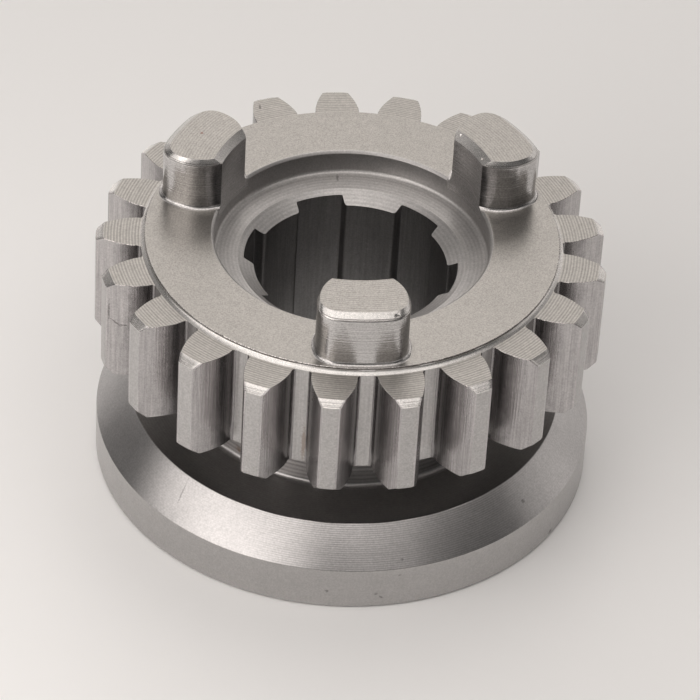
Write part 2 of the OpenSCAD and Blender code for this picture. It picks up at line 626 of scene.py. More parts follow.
FINISHES: dict[Finish, MachinedSteel] = {
    # Flat, even grey with a fine grain: the eye reads a ground face with no direction.
    Finish.FACE: MachinedSteel(
        "steel_faced_boss",
        roughness=0.29,
        marks=ToolMarks(Grain.ROUND_FACE, pitch_mm=0.31, depth_um=1.5, contrast=0.02),
        grit=0.24,
        colour=STEEL_FACED,
        grit_mm=0.13,
    ),
    # Rings 0.31 mm apart show that the tooth tops were faced with a coarse feed.
    Finish.TOOTH_TOP: MachinedSteel(
        "steel_faced_teeth",
        roughness=0.5,
        marks=ToolMarks(Grain.ROUND_FACE, pitch_mm=0.31, depth_um=13.0, contrast=0.21),
        grit=0.14,
        colour="#B8B5B1",
        blemishes=(Blemish((-8.69, 22.79, 27.3), (0.12, 0.4, 0.3), strength=0.6),),
    ),
    # The same feed, nearly ground away: faint rings on a pale top.
    Finish.DOG_TOP: MachinedSteel(
        "steel_faced_dog",
        roughness=0.29,
        marks=ToolMarks(Grain.ROUND_FACE, pitch_mm=0.31, depth_um=7.0, contrast=0.12),
        grit=0.24,
        colour=STEEL_FACED,
        grit_mm=0.13,
        blemishes=(Blemish((-15.36, 9.13, 34.0), (0.16, 0.16, 0.2), "#8A6A62"),),
    ),
    # A smooth, dull cylinder with a few dents full of dirt.
    Finish.RIM: MachinedSteel(
        "steel_turned_rim",
        roughness=0.31,
        marks=ToolMarks(Grain.ROUND_WALL, pitch_mm=0.15, depth_um=9.0, contrast=0.02),
        colour="#B8B6B5",
        blemishes=(
            Blemish((-2.67, -25.86, 2.21), (0.18, 0.3, 0.18), strength=0.5),
            Blemish((2.34, -25.89, 1.83), (0.16, 0.3, 0.14), strength=0.4),
            Blemish((2.88, -25.84, 1.36), (0.28, 0.3, 0.12), lean_deg=35.0, strength=0.45),
            Blemish((4.68, -25.57, 4.16), (0.16, 0.3, 0.12), strength=0.4),
            Blemish((21.18, -15.08, 0.7), (0.35, 0.3, 0.25), strength=0.6),
        ),
    ),
    # Fine bright turning lines that fade to the left, where handling has worn them smooth.
    Finish.BEVEL: MachinedSteel(
        "steel_turned_bevel",
        roughness=0.29,
        marks=ToolMarks(
            Grain.ROUND_FACE,
            pitch_mm=0.155,
            depth_um=8.0,
            contrast=0.15,
            kept_x_mm=(-12.0, -5.5, 13.0, 19.0),
        ),
        grit=0.13,
        colour="#B8B6B6",
        blemishes=(
            Blemish((17.77, -16.9, 6.52), (0.26, 0.26, 0.18), strength=0.45),
            Blemish((-17.28, -16.4, 7.23), (1.3, 0.09, 0.09), DIRT, 45.0, -125.0, 0.4),
            Blemish((4.9, -24.9, 5.7), (0.16, 0.16, 0.16), strength=0.4),
        ),
    ),
    # Dark and flat: painted shade darkens the groove and the teeth's underside above it.
    Finish.GROOVE: MachinedSteel(
        "steel_shaded_groove",
        roughness=0.3,
        marks=ToolMarks(Grain.ROUND_FACE, pitch_mm=0.3, depth_um=3.0, contrast=0.04),
        colour=STEEL_GROOVE_SHADE,
    ),
    # Wide bright rings: a coarse turning feed that catches the light in steps.
    Finish.NECK: MachinedSteel(
        "steel_turned_neck",
        roughness=0.29,
        marks=ToolMarks(Grain.ROUND_WALL, pitch_mm=0.5, depth_um=30.0, contrast=0.2),
        blemishes=(Blemish((-11.34, -12.39, 9.46), (0.6, 0.6, 0.4), RUST, strength=0.6),),
    ),
    # Upright streaks, with painted shade that darkens them near the root and painted light that
    # lightens them towards the tip.
    Finish.FLANK: MachinedSteel(
        "steel_hobbed_flank",
        roughness=0.27,
        marks=ToolMarks(Grain.UPRIGHT, pitch_mm=0.2, depth_um=24.0, contrast=0.2),
        grit=0.13,
        colour=STEEL_HOBBED,
        root_shade_r_mm=(23.6, 25.6),
        blemishes=(
            ROOT_STAIN,
            Blemish((-24.92, -7.38, 23.8), (0.09, 0.4, 1.2), strength=0.6),
            Blemish((-24.25, -7.53, 22.4), (0.75, 0.4, 0.09), DIRT, 38.6, -11.7, 0.6),
            Blemish((-23.43, -7.67, 22.13), (0.5, 0.4, 0.08), strength=0.6),
        ),
    ),
    # The floor between two teeth: paler and flatter than the flanks.
    Finish.ROOT: MachinedSteel(
        "steel_hobbed_root",
        roughness=0.29,
        marks=ToolMarks(Grain.UPRIGHT, pitch_mm=0.25, depth_um=12.0, contrast=0.12),
        grit=0.12,
        colour=STEEL_LIGHT,
        blemishes=(ROOT_STAIN,),
    ),
    # Pale, dull strips along the tips, turned before the teeth were cut.
    Finish.LAND: MachinedSteel(
        "steel_turned_land",
        roughness=0.33,
        marks=ToolMarks(Grain.ROUND_WALL, pitch_mm=0.15, depth_um=15.0),
        grit=0.15,
        colour="#B9B7B6",
    ),
    # Fresh, smooth cuts that flash white where they face the light.
    Finish.CHAMFER: MachinedSteel("steel_turned_chamfer", roughness=0.26, colour=STEEL_CUT),
    # Torn edges: a dotted bright line of tiny burrs, drawn coarser than the real ones; their pale,
    # strongly speckled colour adds painted glints.
    Finish.BURR: MachinedSteel(
        "steel_burred_edge_glint", roughness=0.27, grit=0.85, colour="#C2BFBD", grit_um=40.0, grit_mm=0.16
    ),
    # Thin dark lines of painted shade on the boss wall and in the dog's steps, which set the bright
    # edges off.
    Finish.SEAM: MachinedSteel("steel_painted_shade_line", roughness=0.4, grit=0.3, colour="#6F6B69"),
    # Near-black walls with faint upright broach lines.
    Finish.BORE: MachinedSteel(
        "steel_broached_bore",
        roughness=0.29,
        marks=ToolMarks(Grain.UPRIGHT, pitch_mm=0.2, depth_um=12.0, contrast=0.12),
        grit=0.13,
        colour=STEEL_SHADED,
    ),
    # Soft rings around the counterbore's floor.
    Finish.RECESS: MachinedSteel(
        "steel_bored_recess",
        roughness=0.42,
        marks=ToolMarks(Grain.ROUND_FACE, pitch_mm=0.4, depth_um=9.0, contrast=0.08),
        grit=0.13,
        colour=STEEL_LIGHT,
        blemishes=(Blemish((-0.78, 13.3, 25.2), (0.12, 0.5, 0.3), strength=0.5),),
    ),
    # Uneven rings and a strong shift from bright to dark around the pin.
    Finish.DOG_SIDE: MachinedSteel(
        "steel_milled_dog",
        roughness=0.18,
        marks=ToolMarks(
            Grain.ROUND_WALL, pitch_mm=0.24, depth_um=20.0, contrast=0.16, even=0.06, uneven=0.8
        ),
        grit=0.25,
        colour="#BEBCBB",
        grit_mm=0.16,
        blemishes=(
            Blemish((12.94, 5.81, 28.74), (0.8, 0.1, 0.1), "#DCD8D5", 22.0, -65.6, 0.7),
        ),
    ),
    # Even grey from a surface grinder; it stands on the floor and is hardly seen.
    Finish.BASE: MachinedSteel(
        "steel_ground_base",
        roughness=0.29,
        marks=ToolMarks(Grain.ROUND_FACE, pitch_mm=0.2, depth_um=4.0),
    ),
}


def repeated(
    part: bpy.types.Mesh, count: int, name: str, materials: Materials
) -> bpy.types.Mesh:
    """Repeats a part evenly around the bore axis with Geometry Nodes.

    Args:
        part: Mesh of one part, in millimetres.
        count: Number of copies in a full turn.
        name: Name for the tree.
        materials: Material of each finish.

    Returns:
        One plain mesh of all copies.
    """
    tree = bpy.data.node_groups.new(name, "GeometryNodeTree")
    face = tree.interface
    face.new_socket("Part", in_out="INPUT", socket_type="NodeSocketGeometry")
    number = face.new_socket("Count", in_out="INPUT", socket_type="NodeSocketInt")
    weld = face.new_socket("Weld distance", in_out="INPUT", socket_type="NodeSocketFloat")
    face.new_socket("Ring", in_out="OUTPUT", socket_type="NodeSocketGeometry")
    given = add(tree, "NodeGroupInput").outputs
    along = {"Count": given["Count"], "Offset": (0, 0, 0)}
    places = add(tree, "GeometryNodeMeshLine", None, along).outputs["Mesh"]
    angle = add(tree, "GeometryNodeInputIndex").outputs[0]
    for how, by in (("DIVIDE", given["Count"]), ("MULTIPLY", TURN)):
        angle = add(tree, "ShaderNodeMath", {"operation": how}, {0: angle, 1: by}).outputs[0]
    spin = add(tree, "ShaderNodeCombineXYZ", None, {"Z": angle}).outputs["Vector"]
    copies = add(
        tree,
        "GeometryNodeInstanceOnPoints",
        None,
        {"Points": places, "Instance": given["Part"], "Rotation": spin},
    ).outputs[0]
    real = add(tree, "GeometryNodeRealizeInstances", None, {"Geometry": copies}).outputs[0]
    whole = add(
        tree,
        "GeometryNodeMergeByDistance",
        None,
        {"Geometry": real, "Distance": given["Weld distance"]},
    ).outputs[0]
    for finish, material in materials.items():
        kind = add(
            tree, "GeometryNodeInputNamedAttribute", {"data_type": "INT"}, {"Name": FINISH_LAYER}
        ).outputs["Attribute"]
        same = add(
            tree,
            "FunctionNodeCompare",
            {"data_type": "INT", "operation": "EQUAL"},
            {2: kind, 3: finish.value},
        ).outputs[0]
        whole = add(
            tree,
            "GeometryNodeSetMaterial",
            None,
            {"Geometry": whole, "Selection": same, "Material": material},
        ).outputs[0]
    add(tree, "NodeGroupOutput", None, {0: whole})

    carrier = placed(name, part)
    modifier = carrier.modifiers.new(name, "NODES")
    modifier.node_group = tree
    modifier[number.identifier] = count
    modifier[weld.identifier] = SAME_POINT_MM
    made = evaluated(carrier)
    carrier.modifiers.remove(modifier)
    bpy.data.objects.remove(carrier)
    bpy.data.meshes.remove(part)
    return made


@dataclass
class ToothedRing:
    """The ring of involute teeth, with the foot and wall of the boss inside it."""

    count: int = 21
    module: float = 2.25
    pressure_deg: float = 20.0
    shift: float = 0.43
    tip_r: float = 26.295
    root_r: float = 21.7
    root_ease: float = 0.35
    low_z: float = 15.5
    top_z: float = 27.3
    chamfer_low: float = 0.75
    chamfer_top: float = 0.55
    chamfer_top_w: float = 0.75
    # Place up the top chamfer as a share, width and depth of the lines turned into it.
    chamfer_lines: tuple[Point3, ...] = ((0.1, 0.1, 0.07), (0.3, 0.07, 0.05), (0.57, 0.07, 0.05))
    first_deg: float = 91.2
    burr: float = 0.035
    # The burr fades to its least share over this height above the root.
    burr_fades: float = 0.5
    burr_least: float = 0.1
    corner: float = 0.07
    corner_w: float = 0.32
    boss_r: float = 21.3
    boss_z: float = 27.9
    boss_foot: tuple[Point2, ...] = ((0.39, 0.0), (0.2, 0.12), (0.04, 0.26), (0.0, 0.32))
    boss_edge: float = 0.05
    # Height above the tooth tops where the wall's band of painted shade begins.
    seam_up: float = 0.42
    row_gap: float = 3.5
    row_count: int = 3
    hair: float = 0.02
    root_steps: int = 3
    fillet_steps: int = 5
    flank_steps: int = 11
    corner_steps: int = 4
    tip_steps: int = 4

    def involute(self, radius: float) -> float:
        """Works out how far the involute has turned at a radius.

        Args:
            radius: Distance from the bore axis.

        Returns:
            The angle in radians.
        """
        base = self.module * self.count / 2 * math.cos(math.radians(self.pressure_deg))
        if radius <= base:
            return 0.0
        lean = math.acos(base / radius)
        return math.tan(lean) - lean

    def half_space(self, radius: float) -> float:
        """Works out half the width of a tooth space at a radius.

        Args:
            radius: Distance from the bore axis.

        Returns:
            The angle in radians.
        """
        pitch_r = self.module * self.count / 2
        slope = math.tan(math.radians(self.pressure_deg))
        half_tooth = (math.pi / 2 + 2 * self.shift * slope) / self.count
        at_base = half_tooth + self.involute(pitch_r)
        return math.pi / self.count - at_base + self.involute(radius)

    def outline(self, limit: float, inset: float) -> list[Point2]:
        """Draws one pitch of the outline, from one space's middle to the next.

        Args:
            limit: Largest radius of the tooth at this height.
            inset: How far the tooth's edge is pulled in.

        Returns:
            Points of the outline.
        """
        open_half = self.half_space(0.0)
        centre_r = self.root_r + self.root_ease
        centre_a = open_half - math.asin(self.root_ease / centre_r)
        n = self.root_steps
        half = [polar(self.root_r, centre_a * i / n) for i in range(n)]
        start, end = math.degrees(centre_a) + 180, math.degrees(open_half) + 90
        half += arc(polar(centre_r, centre_a), self.root_ease, start, end, self.fillet_steps)
        foot = math.sqrt(centre_r**2 - self.root_ease**2)
        shoulder = limit - self.corner
        n = self.flank_steps
        radii = [foot + (shoulder - foot) * i / n for i in range(1, n + 1)]
        half += [polar(r, self.half_space(r)) for r in radii]
        first = Vector(half[-1])
        tip_a = self.half_space(limit) + self.corner_w / limit
        last = Vector(polar(limit, tip_a))
        n = self.corner_steps
        half += [tuple(first.lerp(last, i / n)) for i in range(1, n + 1)]
        middle = math.pi / self.count
        n = self.tip_steps
        half += [polar(limit, tip_a + (middle - tip_a) * i / n) for i in range(1, n + 1)]
        full = half + [self._mirrored(p) for p in reversed(half[:-1])]
        return self._pulled_in(full, inset) if inset else full

    def _mirrored(self, point: Point2) -> Point2:
        """Mirrors a point in the tooth's middle line."""
        angle = math.atan2(point[1], point[0])
        return polar(math.hypot(*point), TURN / self.count - angle)

    def _pulled_in(self, points: list[Point2], inset: float) -> list[Point2]:
        """Moves the outline into the metal, but hardly at the root.

        Args:
            points: Points of the outline.
            inset: How far the tooth moves.

        Returns:
            The moved points.
        """
        moved = []
        step = math.atan2(points[1][1], points[1][0])
        before = polar(self.root_r, -step)
        after = polar(self.root_r, TURN / self.count + step)
        chain = [before, *points, after]
        for i in range(1, len(chain) - 1):
            along = (Vector(chain[i + 1]) - Vector(chain[i - 1])).normalized()
            inward = Vector((-along.y, along.x))
            rise = (math.hypot(*chain[i]) - self.root_r) / self.burr_fades
            share = min(1.0, max(self.burr_least, rise))
            moved.append(tuple(Vector(chain[i]) + inward * inset * share))
        return moved

    def _rows(self) -> list[Point3]:
        """Lays out the rings of points up the teeth.

        Returns:
            Height, largest radius and inset of each ring.
        """
        low_r = self.tip_r - self.chamfer_low
        land_top = self.top_z - self.chamfer_top
        rows = [
            (self.low_z, low_r, self.burr),
            (self.low_z + self.burr, low_r, 0.0),
            (self.low_z + self.chamfer_low, self.tip_r, 0.0),
        ]
        for i in range(1, self.row_count + 1):
            rows.append((self.low_z + self.row_gap * i, self.tip_r, 0.0))
        rows.append((land_top - self.hair, self.tip_r, 0.0))
        for at, wide, deep in self.chamfer_lines:
            for step, cut in ((-0.5, 0.0), (0.0, deep), (0.5, 0.0)):
                share = at + step * wide / self.chamfer_top
                up, back = share * self.chamfer_top, share * self.chamfer_top_w
                rows.append((land_top + up, self.tip_r - back - cut, 0.0))
        inner = self.tip_r - self.chamfer_top_w
        return [*rows, (self.top_z - self.burr, inner, 0.0), (self.top_z, inner, self.burr)]

    def sector(self) -> bpy.types.Mesh:
        """Builds one pitch of the ring.

        Returns:
            The mesh, open on both sides, in millimetres.
        """
        shell = Shell()
        rows = self._rows()
        outlines = [self.outline(limit, inset) for _, limit, inset in rows]
        rings = [
            shell.ring((x, y, z) for x, y in line) for line, (z, _, _) in zip(outlines, rows)
        ]
        span = len(rings[0]) - 1
        land_half = self.tip_steps + self.corner_steps // 2
        land = range(span // 2 - land_half, span // 2 + land_half)
        floor = {*range(self.root_steps), *range(span - self.root_steps, span)}
        land_low = self.low_z + self.chamfer_low
        land_high = self.top_z - self.chamfer_top - 2 * self.hair
        for k, (low, high) in enumerate(zip(rings, rings[1:])):
            turned = land_low <= rows[k][0] < land_high
            tip = Finish.LAND if turned else Finish.CHAMFER
            side = Finish.BURR if k == len(rings) - 2 else Finish.FLANK
            shell.band(
                low, high, lambda i: tip if i in land else Finish.ROOT if i in floor else side
            )
        self._boss(shell, rings[-1], [math.atan2(y, x) for x, y in outlines[-1]])
        shell.turn(self.first_deg + 180 / self.count)
        shell.weld()
        return shell.to_mesh("tooth_pitch")

    def _boss(self, shell: Shell, edge: Ring, angles: list[float]) -> None:
        """Adds the tops of the teeth and the foot, wall and edge of the boss.

        Args:
            shell: The draft.
            edge: Ring of points along the tops' outer edge.
            angles: Angle of each of its points, in radians.
        """
        wall = [(self.boss_r + r, self.top_z + up) for r, up in self.boss_foot]
        wall += [
            (self.boss_r, self.top_z + self.seam_up),
            (self.boss_r, self.boss_z - self.boss_edge),
            (self.boss_r - self.boss_edge, self.boss_z),
        ]
        # The wall between the foot and the boss edge takes a band of painted shade.
        finishes = [Finish.TOOTH_TOP, *[Finish.CHAMFER] * len(self.boss_foot)]
        for (r, z), finish in zip(wall, (*finishes, Finish.SEAM, Finish.BURR)):
            ring = shell.ring((*polar(r, a), z) for a in angles)
            shell.band(edge, ring, finish)
            edge = ring


@dataclass
class SplinedBore:
    """The broached bore: parallel-sided spaces, lead-in cone and bottom mouth."""

    spaces: int = 6
    minor_r: float = 10.0
    major_r: float = 11.05
    space_w: float = 5.05
    first_deg: float = 45.0
    lead_r: float = 11.7
    lead_slope_deg: float = 30.0
    floor_z: float = 25.0
    mouth: float = 0.8
    corner: float = 0.3
    corner_reach: float = 2.2
    space_corner: float = 0.12
    space_floor: float = 0.9
    arc_steps: int = 6
    ease_steps: int = 4

    def outline(self) -> list[Point2]:
        """Draws one pitch of the bore, from one tooth's middle to the next.

        Returns:
            Points of the outline, with the space's middle on the X axis.
        """
        half_w = self.space_w / 2
        deep = math.asin(half_w / self.major_r)
        shallow = math.asin(half_w / self.minor_r)
        middle = math.pi / self.spaces
        n = self.arc_steps
        half = [polar(self.major_r, deep * i / n) for i in range(n)]
        tooth_a = shallow + self.corner_reach * self.corner / self.minor_r
        side = [
            (*polar(self.major_r, deep * self.space_floor), 0.0),
            (self.major_r * math.cos(deep), half_w, self.space_corner),
            (self.minor_r * math.cos(shallow), half_w, self.corner),
            (*polar(self.minor_r, tooth_a), 0.0),
        ]
        half += eased(side, self.ease_steps)
        start = math.atan2(half[-1][1], half[-1][0])
        half += [polar(self.minor_r, start + (middle - start) * i / n) for i in range(1, n + 1)]
        return [(x, -y) for x, y in reversed(half[1:])] + half

    def sector(self) -> bpy.types.Mesh:
        """Builds one pitch of the bore.

        Returns:
            The mesh, open on both sides, in millimetres.
        """
        shell = Shell()
        slope = math.tan(math.radians(self.lead_slope_deg))
        flare = self.minor_r + self.mouth
        cone, wall_top, wall_low, base = [], [], [], []
        for x, y in self.outline():
            r, a = math.hypot(x, y), math.atan2(y, x)
            cone.append((*polar(self.lead_r, a), self.floor_z))
            wall_top.append((x, y, self.floor_z - (self.lead_r - r) * slope))
            wall_low.append((x, y, max(0.0, flare - r)))
            base.append((*polar(max(r, flare), a), 0.0))
        rings = [shell.ring(points) for points in (cone, wall_top, wall_low, base)]
        finishes = (Finish.RECESS, Finish.BORE, Finish.CHAMFER)
        for low, high, finish in zip(rings, rings[1:], finishes):
            shell.band(low, high, finish)
        shell.turn(self.first_deg)
        shell.weld()
        return shell.to_mesh("bore_pitch")


@dataclass
class TurnedBody:
    """The flange, fork groove, neck and counterbore, turned about the bore axis."""

    flange_r: float = 26.0
    rim_h: float = 5.0
    bevel_w: float = 3.4
    bevel_h: float = 3.5
    rim_edge: float = 0.25
    neck_r: float = 16.8
    neck_ease: float = 0.6
    ring_low_z: float = 15.5
    boss_z: float = 27.9
    face_w: float = 0.3
    recess_r: float = 14.2
    recess_floor_z: float = 25.25
    recess_ease: float = 0.5
    recess_dish: float = 0.25
    lead_r: float = 11.78
    recess_edge: float = 0.25
    soft_corner: float = 0.1
    keen_corner: float = 0.06
    arc_steps: int = 5
    ease_steps: int = 4
    columns: int = 252

    def lower(self) -> list[Point2]:
        """Draws the profile from the base to the underside of the teeth.

        Returns:
            Radius and height of its points.
        """
        face_z = self.rim_h + self.bevel_h
        r, ease, n = self.neck_r + self.neck_ease, self.neck_ease, self.arc_steps
        outer = eased(
            [
                (self.flange_r - self.rim_edge, 0.0, 0.0),
                (self.flange_r, self.rim_edge, self.soft_corner),
                (self.flange_r, self.rim_h, self.keen_corner),
                (self.flange_r - self.bevel_w, face_z, self.soft_corner),
                (r, face_z, 0.0),
            ],
            self.ease_steps,
        )
        foot = arc((r, face_z + ease), ease, 270, 180, n)
        head = arc((r, self.ring_low_z - ease), ease, 180, 90, n)
        return outer[:-1] + foot + head

    def upper(self) -> list[Point2]:
        """Draws the profile from the boss face down to the counterbore's floor.

        Returns:
            Radius and height of its points.
        """
        edge_r = self.recess_r + self.recess_edge
        wall_z = self.recess_floor_z + self.recess_ease
        wall = eased(
            [
                (edge_r + self.face_w, self.boss_z, 0.0),
                (edge_r, self.boss_z, self.keen_corner),
                (self.recess_r, self.boss_z - self.recess_edge, self.keen_corner),
                (self.recess_r, wall_z, 0.0),
            ]
        )
        centre = (self.recess_r - self.recess_ease, wall_z)
        corner = arc(centre, self.recess_ease, 0, -90, self.arc_steps)
        return wall[:-1] + corner + [(self.lead_r, self.recess_floor_z - self.recess_dish)]

    def finish(self, radius: float, height: float) -> Finish:
        """Names the finish of the turned surface at a place.

        Args:
            radius: Distance from the bore axis.
            height: Height above the base.

        Returns:
            The finish.
        """
        if height > self.boss_z - NEAR_MM:
            return Finish.FACE
        if height > self.ring_low_z:
            return Finish.RECESS
        if height < self.rim_h + NEAR_MM:
            return Finish.RIM
        if radius > self.flange_r - self.bevel_w:
            return Finish.BEVEL
        return Finish.NECK if radius < self.neck_r + self.neck_ease else Finish.GROOVE

    def build(self, shell: Shell) -> None:
        """Adds the turned surfaces to a draft."""
        shell.turned(self.lower(), self.columns, self.finish)
        shell.turned(self.upper(), self.columns, self.finish)


@dataclass
class DriveDog:
    """One dog: a milled pin with turned inner and outer sides."""

    pin_r: float = 4.67
    centre_r: float = 17.85
    outer_r: float = 20.8
    inner_r: float = 14.196
    boss_z: float = 27.9
    top_z: float = 34.0
    sunk: float = 1.2
    chamfer: float = 0.78
    chamfer_drop: float = 0.64
    # Drop from the top, cut outside and cut inside of the two steps below the chamfer.
    chamfer_lines: tuple[Point3, ...] = ((0.6, 0.02, 0.05), (0.49, 0.15, 0.19), (0.44, 0.2, 0.25))
    side_share: float = 0.38
    inner_chamfer: float = 0.8
    foot: float = 0.4
    foot_sunk: float = 0.01
    blend: float = 1.3
    first_deg: float = 270.0
    outer_steps: int = 12
    bend_steps: int = 8
    side_steps: int = 18
    inner_steps: int = 14
    foot_steps: int = 5
    wall_steps: int = 4

    def outline(self, grown: float, side: float, inner: float) -> list[Point2]:
        """Draws the dog's outline.

        Args:
            grown: How far the outer side stands out.
            side: How far the pin stands out.
            inner: How far the inner side is cut back.

        Returns:
            Points of the outline, with the dog's middle on the X axis.
        """
        pin, out, inn = self.pin_r + side, self.outer_r + grown, self.inner_r + inner
        c = self.centre_r

        def meeting(radius: float) -> float:
            """Returns the angle about the bore where the pin meets a turned side."""
            return math.acos((radius**2 + c**2 - pin**2) / (2 * radius * c))

        a_in = meeting(inn)
        knee = Vector(polar(out, meeting(out)))
        flat = math.asin((knee.y - self.blend) / out)
        n = self.outer_steps
        front = [polar(out, flat * (2 * i / n - 1)) for i in range(n + 1)]
        n = self.inner_steps
        back = [polar(inn, a_in * (1 - 2 * i / n)) for i in range(n + 1)]
        lean = math.degrees(math.atan2(knee.y, knee.x - c))
        start = lean + math.degrees(self.blend / pin)
        end = math.degrees(math.atan2(back[0][1], back[0][0] - c)) % 360
        round_side = arc((c, 0.0), pin, start, end, self.side_steps)
        first, last = Vector(front[-1]), Vector(round_side[0])
        n = self.bend_steps
        left = [bent(first, knee, last, i / n) for i in range(1, n)] + round_side[:-1]
        right = [(x, -y) for x, y in reversed(left)]
        return front + left + back + right

    def build(self) -> bpy.types.Mesh:
        """Builds the dog as a closed shell that reaches into the boss.

        Returns:
            The mesh, in millimetres.
        """
        shell = Shell()
        rows = [(self.boss_z - self.sunk, self.foot, self.foot, 0.0)]
        for i in range(self.foot_steps + 1):
            lean = math.radians(90 * i / self.foot_steps)
            rise = self.foot * (1 - math.cos(lean)) - self.foot_sunk
            out = self.foot * (1 - math.sin(lean))
            rows.append((self.boss_z + rise, out, out, 0.0))
        body = self.top_z - self.chamfer_drop - self.boss_z - self.foot
        for i in range(1, self.wall_steps + 1):
            z = self.boss_z + self.foot + body * i / self.wall_steps
            rows.append((z, 0.0, 0.0, 0.0))
        cuts = (*self.chamfer_lines, (0.0, self.chamfer, self.inner_chamfer))
        for drop, cut, inner in cuts:
            rows.append((self.top_z - drop, -cut, -cut * self.side_share, inner))
        rings = [
            shell.ring((x, y, z) for x, y in self.outline(grown, side, inner))
            for z, grown, side, inner in rows
        ]
        sides = [Finish.DOG_SIDE] * (len(rings) - len(cuts) - 1)
        sides += [Finish.SEAM, Finish.CHAMFER] * 2
        # Painted shade lies in the steps all round the dog except on its inner side.
        first = self.outer_steps + self.bend_steps + self.side_steps
        inside = range(first, first + self.inner_steps)
        for low, high, finish in zip(rings, rings[1:], sides):
            unshaded = Finish.CHAMFER if finish is Finish.SEAM else finish
            shell.band(low, high, lambda i: unshaded if i in inside else finish, closed=True)
        shell.face(list(reversed(rings[0])), Finish.DOG_SIDE)
        shell.face(rings[-1], Finish.DOG_TOP)
        shell.turn(self.first_deg)
        bmesh.ops.recalc_face_normals(shell.bm, faces=shell.bm.faces)
        return shell.to_mesh("dog")


@dataclass(frozen=True)
class Nick:
    """One small knock on an edge: a jagged lump taken out of the metal."""

    place_mm: Point3
    half_mm: Point3
    turn_deg: float
    seed: int
    jagged: Point2 = (0.7, 1.15)

    def build(self) -> bpy.types.Mesh:
        """Builds the lump.

        Returns:
            The mesh, closed, in millimetres.
        """
        dice = random.Random(self.seed)
        shell = Shell()
        bmesh.ops.create_icosphere(shell.bm, subdivisions=2, radius=1.0)
        for vert in shell.bm.verts:
            vert.co *= dice.uniform(*self.jagged)
        bmesh.ops.scale(shell.bm, vec=self.half_mm, verts=shell.bm.verts)
        turn = Matrix.Rotation(math.radians(self.turn_deg), 4, "Z")
        bmesh.ops.transform(
            shell.bm, matrix=Matrix.Translation(self.place_mm) @ turn, verts=shell.bm.verts
        )
        for face in shell.bm.faces:
            face[shell.layer] = Finish.CHAMFER.value
        return shell.to_mesh("nick")


@dataclass
class SlidingGear:
    """The whole gear, one closed surface."""

    teeth: ToothedRing
    bore: SplinedBore
    body: TurnedBody
    dog: DriveDog
    dogs: int = 3
    nicks: tuple[Nick, ...] = (
        Nick((3.3, -20.22, 33.8), (0.6, 0.32, 0.27), 12.0, 3),
        Nick((4.02, -20.15, 33.6), (0.36, 0.26, 0.34), 30.0, 5),
        Nick((11.3, 9.25, 33.86), (0.3, 0.26, 0.2), 40.0, 7),
        Nick((13.35, 5.5, 33.75), (0.4, 0.22, 0.28), -65.0, 9),
    )

    def build(self) -> bpy.types.Object:
        """Builds the gear's surface and dresses it.

        Returns:
            The finished piece.
        """
        materials = {finish: FINISHES[finish].build() for finish in Finish}
        shell = Shell()
        self.body.build(shell)
        shell.take(repeated(self.teeth.sector(), self.teeth.count, "teeth_round", materials))
        shell.take(repeated(self.bore.sector(), self.bore.spaces, "spline_round", materials))
        shell.weld()
        shell.flat_ring(0.0, Finish.BASE)
        # The teeth's underside takes the groove's painted shade.
        shell.flat_ring(self.body.ring_low_z, Finish.GROOVE)
        shell.flat_ring(self.bore.floor_z, Finish.RECESS)
        shell.flat_ring(self.body.boss_z, Finish.FACE)
        bmesh.ops.recalc_face_normals(shell.bm, faces=shell.bm.faces)
        LOG.info("body: %d faces, %d open edges", len(shell.bm.faces), open_edges(shell.bm))
        gear = self._object("sliding_gear_steel", shell.to_mesh("gear"), materials)
        pins = repeated(self.dog.build(), self.dogs, "dogs_round", materials)
        self._combine(gear, self._object("dogs", pins, materials), "UNION")
        for nick in self.nicks:
            self._combine(gear, self._object("nick", nick.build(), materials), "DIFFERENCE")
        self._finish(gear)
        return gear

    def _object(self, name: str, mesh: bpy.types.Mesh, materials: Materials) -> bpy.types.Object:
        """Makes an object whose faces take their material from the finish layer.

        Args:
            name: Name of the object.
            mesh: Its mesh.
            materials: Material of each finish.

        Returns:
            The object.
        """
        mesh.materials.clear()
        for finish in Finish:
            mesh.materials.append(materials[finish])
        kinds = [0] * len(mesh.polygons)
        mesh.attributes[FINISH_LAYER].data.foreach_get("value", kinds)
        mesh.polygons.foreach_set("material_index", kinds)
        return placed(name, mesh)

    def _combine(self, gear: bpy.types.Object, other: bpy.types.Object, how: str) -> None:
        """Joins a closed body to the gear or takes it away, as one surface.

        Args:
            gear: The gear.
            other: The other body, which is removed.
            how: Name of the boolean operation.
        """
        join = gear.modifiers.new("combined", "BOOLEAN")
        join.operation = how
        join.solver = "EXACT"
        join.material_mode = "INDEX"
        join.object = other
        mesh = evaluated(gear)
        gear.modifiers.remove(join)
        old, gear.data = gear.data, mesh
        bpy.data.meshes.remove(old)
        bpy.data.objects.remove(other)

    def _finish(self, gear: bpy.types.Object) -> None:
        """Scales the mesh to metres, shades it and reports how closed it is.

        Args:
            gear: The gear, in millimetres.
        """
        bm = bmesh.new()
        bm.from_mesh(gear.data)
        bmesh.ops.remove_doubles(bm, verts=bm.verts, dist=2 * SAME_POINT_MM)
        bmesh.ops.dissolve_degenerate(bm, edges=bm.edges, dist=SAME_POINT_MM)
        LOG.info("%s: %d faces, %d open edges", gear.name, len(bm.faces), open_edges(bm))
        bmesh.ops.scale(bm, vec=(MM, MM, MM), verts=bm.verts)
        bm.to_mesh(gear.data)
        bm.free()
        gear.data.polygons.foreach_set("use_smooth", [True] * len(gear.data.polygons))
        gear.data.set_sharp_from_angle(angle=math.radians(SHARP_EDGE_DEG))


